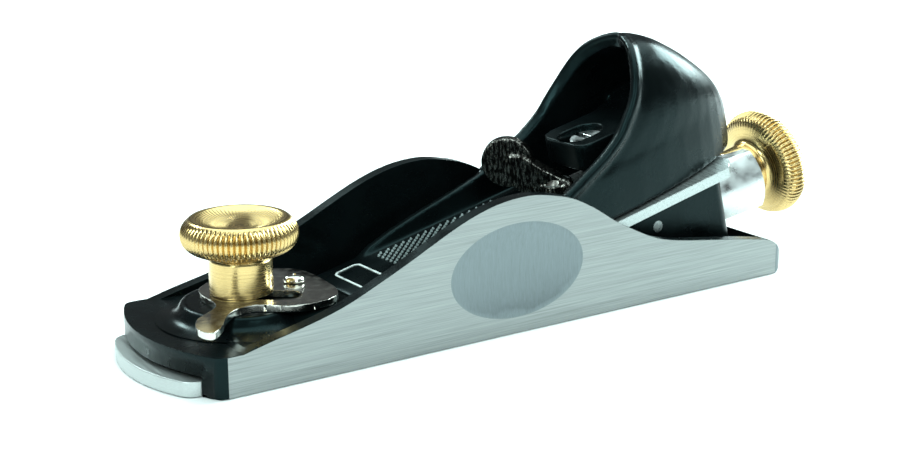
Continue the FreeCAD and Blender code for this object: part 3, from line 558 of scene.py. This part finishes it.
class PLANE_OT_eccentric(PieceOperator, bpy.types.Operator):
    """Shapes the eccentric lever and its domed pivot"""
    bl_idname = "plane.eccentric"
    bl_label = "Eccentric lever"

    def make(self, sizes):
        bm = soften(from_node("eccentric_lever"), 0.22 * MM, 2, 50)
        piece("toe_lever", bm, "eccentric", ["eccentric_lever"], ["nickel"])
        low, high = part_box("eccentric_pivot")
        pin_height = 3.3
        profile = [(0, 0), (1.55, 0), (1.55, 1.9), (2.3, 2.0), (2.42, 2.25), (2.3, 2.6), (1.8, 3.05),
                   (1.0, 3.25), (0.55, pin_height), (0.45, 3.1), (0, 3.05)]
        bm = turned([(r, high.z / MM - pin_height + z) for r, z in profile], 40)
        stand(tidy(bm), Matrix.Translation(((low.x + high.x) / 2, 0, 0)))
        piece("toe_lever_pivot", bm, "casting", ["eccentric_pivot"], ["nickel"])


class PLANE_OT_iron(PieceOperator, bpy.types.Operator):
    """Shapes the cutting iron"""
    bl_idname = "plane.iron"
    bl_label = "Iron"

    def make(self, sizes):
        bm = soften(from_node("plane_iron"), 0.12 * MM, 1, 50)
        piece("iron", bm, "iron", ["plane_iron"], ["blade"])


# Hood of the cap, in slices parallel to the bed: height, front and back from the screw, half-width.
HOOD = [
    (2.95, -22.2, 38.6, 16.75), (6.0, -21.6, 38.9, 16.7), (9.5, -20.8, 39.0, 16.55),
    (13.4, -19.9, 38.9, 16.3), (15.2, -14.5, 38.4, 15.9), (18.0, -7.4, 37.2, 15.6),
    (21.0, -2.1, 35.3, 15.3), (24.3, 1.5, 32.6, 14.8), (27.3, 4.5, 29.8, 14.0),
    (30.3, 6.9, 26.8, 12.6), (32.9, 8.8, 23.8, 10.8), (34.7, 10.3, 21.6, 8.9),
    (36.1, 12.0, 19.3, 6.4), (37.0, 13.4, 17.3, 3.4), (37.33, 14.2, 16.2, 1.2)]
MOUTH_SLICE = 3           # the slice of HOOD where its open front starts to lean back
CAP_WALL = 2.3
BEAD = 1.3                # radius of the bead along the edge of the hood's mouth
TROUGH_HALF = 16.4        # half-width of the trough ahead of the hood
TROUGH_UNDER, TROUGH_FLOOR = 4.25, 6.6
CAP_NOSE = 8.05
# The trough's side wall, seen from the side: along the bed and square to it.
TROUGH_SIDE = [
    (20.2, TROUGH_UNDER), (64, TROUGH_UNDER), (64, 14.0), (57.9, 13.3), (48.4, 11.9), (38.1, 10.7),
    (29.5, 9.4), (23.4, 8.0), (20.4, 6.7)]
# The lip under the cap's nose that bears on the iron.
BEARING_LIP = [(8.1, 2.75), (10.4, 2.75), (11.5, 4.6), (8.1, 4.6)]
BOSS_UNDER, BOSS_TOP = 12.3, 18.9
SCREW_HEAD_HOLE, SCREW_SHANK_HOLE = 3.9, 2.9     # radii
HEAD_SEAT = 14.1          # height of the floor of the hole for the screw's head


def hood_arc(front, back, half, height, count=22, power=2.65):
    """One slice: from one front corner round the back to the other, squarer than an ellipse by power."""
    points = []
    for i in range(count + 1):
        turn = math.pi * (i / count - 0.5)
        along = abs(math.cos(turn)) ** (2 / power)
        side = math.copysign(abs(math.sin(turn)) ** (2 / power), turn)
        points.append(Vector((SCREW_AT + front + (back - front) * along, half * side, height)))
    return points


def smooth_rows(rows, steps=4):
    """Rows of numbers with more rows between them, on a smooth curve through them."""
    ends = [rows[0]] + list(rows) + [rows[-1]]
    out = []
    for four in zip(ends, ends[1:], ends[2:], ends[3:]):
        for i in range(steps):
            u = i / steps
            out.append([0.5 * (2 * q + (r - p) * u + (2 * p - 5 * q + 4 * r - s) * u ** 2
                               + (3 * q - p - 3 * r + s) * u ** 3) for p, q, r, s in zip(*four)])
    return out + [list(rows[-1])]


def hood_sheet(bm, slices):
    """A sheet through the slices, closed over the crown. Returns its rows of vertices."""
    rows = [[bm.verts.new(p) for p in hood_arc(f, b, h, z)] for z, f, b, h in slices]
    edges = [[bm.edges.new(pair) for pair in zip(row, row[1:])] for row in rows]
    for lower, upper in zip(edges, edges[1:]):
        bmesh.ops.bridge_loops(bm, edges=lower + upper)
    bm.faces.new(rows[-1])
    return rows


def ball(bm, centre, radius):
    """A coarse ball, to be cast into a skin with what it touches."""
    verts = bmesh.ops.create_uvsphere(bm, u_segments=12, v_segments=8, radius=radius)["verts"]
    bmesh.ops.translate(bm, vec=centre, verts=verts)


def rounded_box(x, y, r, steps=6):
    """Outline of a rectangle with rounded corners between limits x and y."""
    points = []
    corners = ((x[1] - r, y[1] - r), (x[0] + r, y[1] - r), (x[0] + r, y[0] + r), (x[1] - r, y[0] + r))
    for start, (cx, cy) in zip((0, 90, 180, 270), corners):
        for i in range(steps + 1):
            turn = math.radians(start + 90 * i / steps)
            points.append((cx + r * math.cos(turn), cy + r * math.sin(turn)))
    return points


def cap_blank():
    """The cap's solids, before they are cast into one skin."""
    bm = bmesh.new()
    slices = smooth_rows(HOOD)
    outer = hood_sheet(bm, slices)
    # The wall thickens towards the crown: over the hollow above 22 mm and at the back above 20 mm.
    inner = hood_sheet(bm, [(z - CAP_WALL * max(0, (z - 22) / 15.5), front,
                             back - CAP_WALL - max(0, (z - 20) * 0.12), max(half - CAP_WALL, 0.4))
                            for z, front, back, half in slices])
    rim = [row[0] for row in outer] + [row[-1] for row in reversed(outer)]
    lip = [row[0] for row in inner] + [row[-1] for row in reversed(inner)]
    for (a, b), (c, d) in zip(zip(rim, rim[1:]), zip(lip, lip[1:])):
        bm.faces.new((a, b, d, c))
    for (a, b), (c, d) in zip(zip(outer[0], outer[0][1:]), zip(inner[0], inner[0][1:])):
        bm.faces.new((a, c, d, b))
    bmesh.ops.recalc_face_normals(bm, faces=bm.faces)
    for z, front, back, half in smooth_rows(HOOD[MOUTH_SLICE:], 12):
        for side in (-1, 1):
            ball(bm, Vector((SCREW_AT + front + 0.3, side * (half - 0.1), z - 0.5)), BEAD)
    for side in (-1, 1):
        side_solid(bm, TROUGH_SIDE, side * TROUGH_HALF, side * (TROUGH_HALF - CAP_WALL))
    floor = rounded_box((CAP_NOSE, 72), (-TROUGH_HALF, TROUGH_HALF), 1.6)
    plan_solid(bm, floor, TROUGH_UNDER, TROUGH_FLOOR)
    side_solid(bm, BEARING_LIP, -TROUGH_HALF + 0.6, TROUGH_HALF - 0.6)
    boss = rounded_box((SCREW_AT - 7.6, SCREW_AT + 24), (-8.1, 8.1), 3.2, 8)
    plan_solid(bm, boss, BOSS_UNDER, BOSS_TOP)
    web = [(SCREW_AT + 4, BOSS_UNDER), (SCREW_AT + 26, BOSS_UNDER), (SCREW_AT + 24, 20.5),
           (SCREW_AT + 4, 16.5)]
    side_solid(bm, web, -11, 11)
    bmesh.ops.recalc_face_normals(bm, faces=bm.faces)
    return bm


def oval_cutter(radius, travel, low, high):
    """A cutter for a hole that is as long as the cap's travel asks, between two heights."""
    bm = bmesh.new()
    along = (SCREW_AT - travel - radius, SCREW_AT + radius)
    outline = rounded_box(along, (-radius, radius), radius - 0.001, 10)
    plan_solid(bm, outline, low, high)
    bmesh.ops.recalc_face_normals(bm, faces=bm.faces)
    mesh = bpy.data.meshes.new("cutter")
    bm.to_mesh(mesh)
    bm.free()
    obj = bpy.data.objects.new("cutter", mesh)
    bpy.context.scene.collection.objects.link(obj)
    return obj


class PLANE_OT_cap(PieceOperator, bpy.types.Operator):
    """Casts the hooded lever cap"""
    bl_idname = "plane.cap"
    bl_label = "Lever cap"

    def make(self, sizes):
        voxel = sizes.cap_voxel / MM
        travel = joint("cap_slide")["range_m"][1] / MM
        over_cap = 40
        cutters = [oval_cutter(SCREW_HEAD_HOLE, travel, HEAD_SEAT, over_cap),
                   oval_cutter(SCREW_SHANK_HOLE, travel, 0, over_cap)]
        skin = ("REMESH", {"mode": "VOXEL", "voxel_size": voxel, "adaptivity": 0.0})
        cuts = [("BOOLEAN", {"operation": "DIFFERENCE", "object": c, "solver": "EXACT"}) for c in cutters]
        steps = [skin, *cuts, skin, ("SMOOTH", {"factor": 0.5, "iterations": 7})]
        mesh = baked(cap_blank(), *steps)
        for c in cutters:
            bpy.data.objects.remove(c)
        mesh.transform(BED @ Matrix.Scale(MM, 4))
        piece_from_mesh("cap", mesh, "cap", ["lever_cap"], ["enamel"], 180)
        self.make_grip(sizes)
        self.make_panel()

    def make_grip(self, sizes):
        """Rows of small raised diamonds on the trough floor."""
        bm = bmesh.new()
        pitch, width = sizes.stud_pitch / MM, sizes.stud_width / MM
        start, end, edge = 23.5, 57, 12.6
        row = 0
        x = start
        while x < end:
            y = -edge + (pitch / 2 if row % 2 else 0)
            while y <= edge + 0.1:
                stud = bmesh.ops.create_cone(bm, segments=4, radius1=width / 2, radius2=width / 6, depth=0.5,
                                             cap_ends=True)["verts"]
                bmesh.ops.translate(bm, vec=(x, y, TROUGH_FLOOR + 0.15), verts=stud)
                y += pitch
            x += pitch * 0.62
            row += 1
        stand(bm, BED)
        piece("cap_grip", bm, "cap", [], ["grip"], 20)

    def make_panel(self):
        """A plain raised border on the cap's flat front."""
        along, across, corner, line = (11.6, 18.4), (-12.4, 12.4), 1.6, 0.5
        foot = TROUGH_FLOOR - 0.05
        bm = bmesh.new()
        outside = rounded_box(along, across, corner)
        inside = rounded_box((along[0] + line, along[1] - line), (across[0] + line, across[1] - line),
                             corner - line)
        outer, inner = ([bm.verts.new((x, y, foot)) for x, y in outline] for outline in (outside, inside))
        for i in range(len(outer)):
            bm.faces.new((outer[i - 1], outer[i], inner[i], inner[i - 1]))
        top = bmesh.ops.extrude_face_region(bm, geom=bm.faces[:], use_keep_orig=True)["geom"]
        raised_verts = [g for g in top if isinstance(g, bmesh.types.BMVert)]
        bmesh.ops.translate(bm, vec=(0, 0, 0.25), verts=raised_verts)
        bmesh.ops.recalc_face_normals(bm, faces=bm.faces)
        stand(bm, BED)
        piece("cap_panel_border", bm, "cap", [], ["paint"], 30)


class PLANE_OT_cam(PieceOperator, bpy.types.Operator):
    """Casts the cam lever with its round thumb pad"""
    bl_idname = "plane.cam"
    bl_label = "Cam lever"

    def make(self, sizes):
        reach, aim = 10.2, math.radians(134.6)
        pad_radius, pad_height, arm_half = 6.1, 16.5, 1.9
        # The arm from the side: out from the pivot, and square to the bed.
        arm = [(1.0, 6.8), (6.5, 6.8), (9.5, 10.5), (9.5, 18.5), (6.4, 18.0), (4.4, 16.2), (2.0, 14.0),
               (-2.0, 11.2)]
        bm = bmesh.new()
        side_solid(bm, arm, -arm_half, arm_half)
        hub = bmesh.ops.create_cone(bm, segments=40, radius1=4.4, radius2=3.9, depth=3.4,
                                    cap_ends=True)["verts"]
        bmesh.ops.translate(bm, vec=(0, 0, 8.5), verts=hub)
        ball(bm, Vector((-2.6, 1.6, 9.0)), 2.3)
        pad = bmesh.ops.create_cone(bm, segments=48, radius1=pad_radius, radius2=pad_radius, depth=2.4,
                                    cap_ends=True)["verts"]
        bmesh.ops.rotate(bm, cent=(0, 0, 0), matrix=Matrix.Rotation(math.pi / 2, 3, "X"), verts=pad)
        bmesh.ops.translate(bm, vec=(reach, 0, pad_height), verts=pad)
        bmesh.ops.recalc_face_normals(bm, faces=bm.faces)
        mesh = baked(bm, ("REMESH", {"mode": "VOXEL", "voxel_size": sizes.cam_voxel / MM}),
                     ("SMOOTH", {"factor": 0.5, "iterations": 6}))
        turn = BED @ Matrix.Translation((CAM_AT * MM, 0, 0)) @ Matrix.Rotation(aim, 4, "Z")
        mesh.transform(turn @ Matrix.Scale(MM, 4))
        piece_from_mesh("cam_lever_casting", mesh, "cam", ["cam_lever"], ["cast_nickel"], 180)


class PLANE_OT_cap_screw(PieceOperator, bpy.types.Operator):
    """Rounds the edges of the cap screw with its slotted head"""
    bl_idname = "plane.cap_screw"
    bl_label = "Cap screw"

    def make(self, sizes):
        bm = soften(from_node("lever_cap_screw"), 0.3 * MM, 3, 50)
        piece("cap_screw", bm, "cap_screw", ["lever_cap_screw"], ["satin"])


class PLANE_OT_adjusters(PieceOperator, bpy.types.Operator):
    """Finishes the lateral lever and the small pieces of the adjusters"""
    bl_idname = "plane.adjusters"
    bl_label = "Adjusters"

    def make(self, sizes):
        bm = soften(from_node("lateral_lever"), 0.3 * MM, 2, 50)
        piece("skirted_lever", bm, "lateral", ["lateral_lever"], ["satin"])
        for node in ("lateral_stud", "lateral_block", "adjusting_lever", "rocker_pin", "adjusting_screw",
                     "knob_stud", "cam_washer"):
            finish_node(node, "steel")
        finish_node("adjusting_collar", "wheel_brass")
        finish_node("cam_rivet", "nickel")


# Soft lamps that aim at the middle of the plane: name, place in metres, width in metres, power in watts.
LAMPS = (("overhead", (0.2, 0.3, 2.0), 2.4, 50.0), ("left", (-0.8, -0.3, 0.7), 0.45, 6.0),
         ("right", (1.0, 0.05, 0.55), 0.6, 24.0), ("front", (-0.1, -1.1, 0.9), 0.5, 4.5),
         ("back", (-0.2, 1.2, 0.9), 0.3, 6.0))
LAMP_COLOUR = "EAFFFE"
MIDDLE = Vector((0, 0, 0.02))
CAMERA_AT = (-0.222916, -0.323431, 0.127262)
CAMERA_TURN = (34.477, 15.422, -0.290)     # degrees right of +Y, down and round its own axis
CAMERA_LENS = 70.852157                    # millimetres, for a sensor 36 mm wide


class PLANE_OT_stage(bpy.types.Operator):
    """Sets the pale floor, the soft lights and the camera"""
    bl_idname = "plane.stage"
    bl_label = "Stage"

    def execute(self, context):
        context.scene.view_settings.view_transform = "Standard"
        self.make_floor(context.scene)
        self.make_lights(context.scene)
        self.make_camera(context.scene)
        return {"FINISHED"}

    def make_floor(self, scene):
        """A plain pale floor, 8 m across and 0.2 mm under the sole."""
        bm = bmesh.new()
        bmesh.ops.create_grid(bm, x_segments=1, y_segments=1, size=4)
        mesh = bpy.data.meshes.new("floor")
        bm.to_mesh(mesh)
        bm.free()
        floor = bpy.data.objects.new("floor", mesh)
        floor.location.z = -0.2 * MM
        scene.collection.objects.link(floor)
        mesh.materials.append(new_finish("pale_floor", linear("F4F5F5"), 0.0, 0.9)[0])

    def make_lights(self, scene):
        """A dim even surround and the soft lamps."""
        world = bpy.data.worlds.new("soft_studio")
        world.use_nodes = True
        surround = world.node_tree.nodes["Background"].inputs
        surround["Color"].default_value = linear("E8F0F0")
        surround["Strength"].default_value = 0.12
        scene.world = world
        for name, at, size, power in LAMPS:
            light = bpy.data.lights.new(name, "AREA")
            light.energy, light.size, light.color = power, size, linear(LAMP_COLOUR)[:3]
            lamp = bpy.data.objects.new(name, light)
            lamp.location = at
            lamp.rotation_euler = (MIDDLE - Vector(at)).to_track_quat("-Z", "Y").to_euler()
            scene.collection.objects.link(lamp)

    def make_camera(self, scene):
        """The camera, low over the toe and the near side."""
        camera = bpy.data.objects.new("camera", bpy.data.cameras.new("camera"))
        yaw, pitch, roll = (math.radians(a) for a in CAMERA_TURN)
        ahead = Vector((math.sin(yaw) * math.cos(pitch), math.cos(yaw) * math.cos(pitch), -math.sin(pitch)))
        level = Vector((math.cos(yaw), -math.sin(yaw), 0))
        upright = level.cross(ahead)
        right = level * math.cos(roll) + upright * math.sin(roll)
        up = upright * math.cos(roll) - level * math.sin(roll)
        axes = Matrix((right, up, -ahead)).transposed().to_4x4()
        camera.matrix_world = Matrix.Translation(CAMERA_AT) @ axes
        camera.data.sensor_width = 36
        camera.data.lens = CAMERA_LENS
        camera.data.clip_start = 0.01
        scene.collection.objects.link(camera)
        scene.camera = camera


PIECES = (PLANE_OT_finishes, PLANE_OT_casting, PLANE_OT_toe_plate, PLANE_OT_knobs, PLANE_OT_eccentric,
          PLANE_OT_iron, PLANE_OT_cap, PLANE_OT_cam, PLANE_OT_cap_screw, PLANE_OT_adjusters, PLANE_OT_stage)


class PLANE_PT_panel(bpy.types.Panel):
    """Lists the pieces, sizes and finishes"""
    bl_label = "Block plane"
    bl_idname = "PLANE_PT_panel"
    bl_space_type = "VIEW_3D"
    bl_region_type = "UI"
    bl_category = "Plane"

    def draw(self, context):
        for group in (context.scene.plane_sizes, context.scene.plane_finishes):
            column = self.layout.column(align=True)
            for key in group.__annotations__:
                column.prop(group, key)
        for operator in PIECES:
            self.layout.operator(operator.bl_idname)


CLASSES = (PlaneSizes, PlaneFinishes) + PIECES + (PLANE_PT_panel,)


def register():
    for item in CLASSES:
        bpy.utils.register_class(item)
    bpy.types.Scene.plane_sizes = PointerProperty(type=PlaneSizes)
    bpy.types.Scene.plane_finishes = PointerProperty(type=PlaneFinishes)


def unregister():
    del bpy.types.Scene.plane_finishes
    del bpy.types.Scene.plane_sizes
    for item in reversed(CLASSES):
        bpy.utils.unregister_class(item)


def main():
    register()
    for operator in PIECES:
        group, name = operator.bl_idname.split(".")
        getattr(getattr(bpy.ops, group), name)()


if __name__ == "__main__":
    main()
